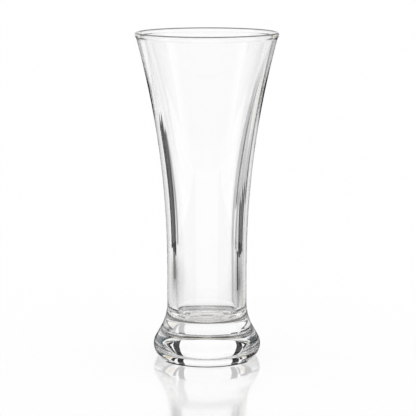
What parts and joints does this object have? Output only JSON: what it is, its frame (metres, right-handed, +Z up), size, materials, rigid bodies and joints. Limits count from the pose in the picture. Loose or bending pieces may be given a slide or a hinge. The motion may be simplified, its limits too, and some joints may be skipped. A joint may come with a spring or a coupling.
{
  "type": "pilsner glass",
  "caption": "Tall clear pilsner glass with a flared bowl, a fire-polished rim bead and a heavy solid foot, for serving beer.",
  "frame": {"origin": "on the axis of the glass, in the plane of the bearing ring that it stands on", "axes": "+Z up along the axis of the glass, from the foot to the rim; X and Y are any two level directions"},
  "size_m": [0.0786, 0.0786, 0.18],
  "materials": {
    "clear_glass": "clear, fire-polished"
  },
  "bodies": {
    "root": {"foot": "clear_glass", "bowl": "clear_glass", "rim_bead": "clear_glass"}
  },
  "joints": []
}
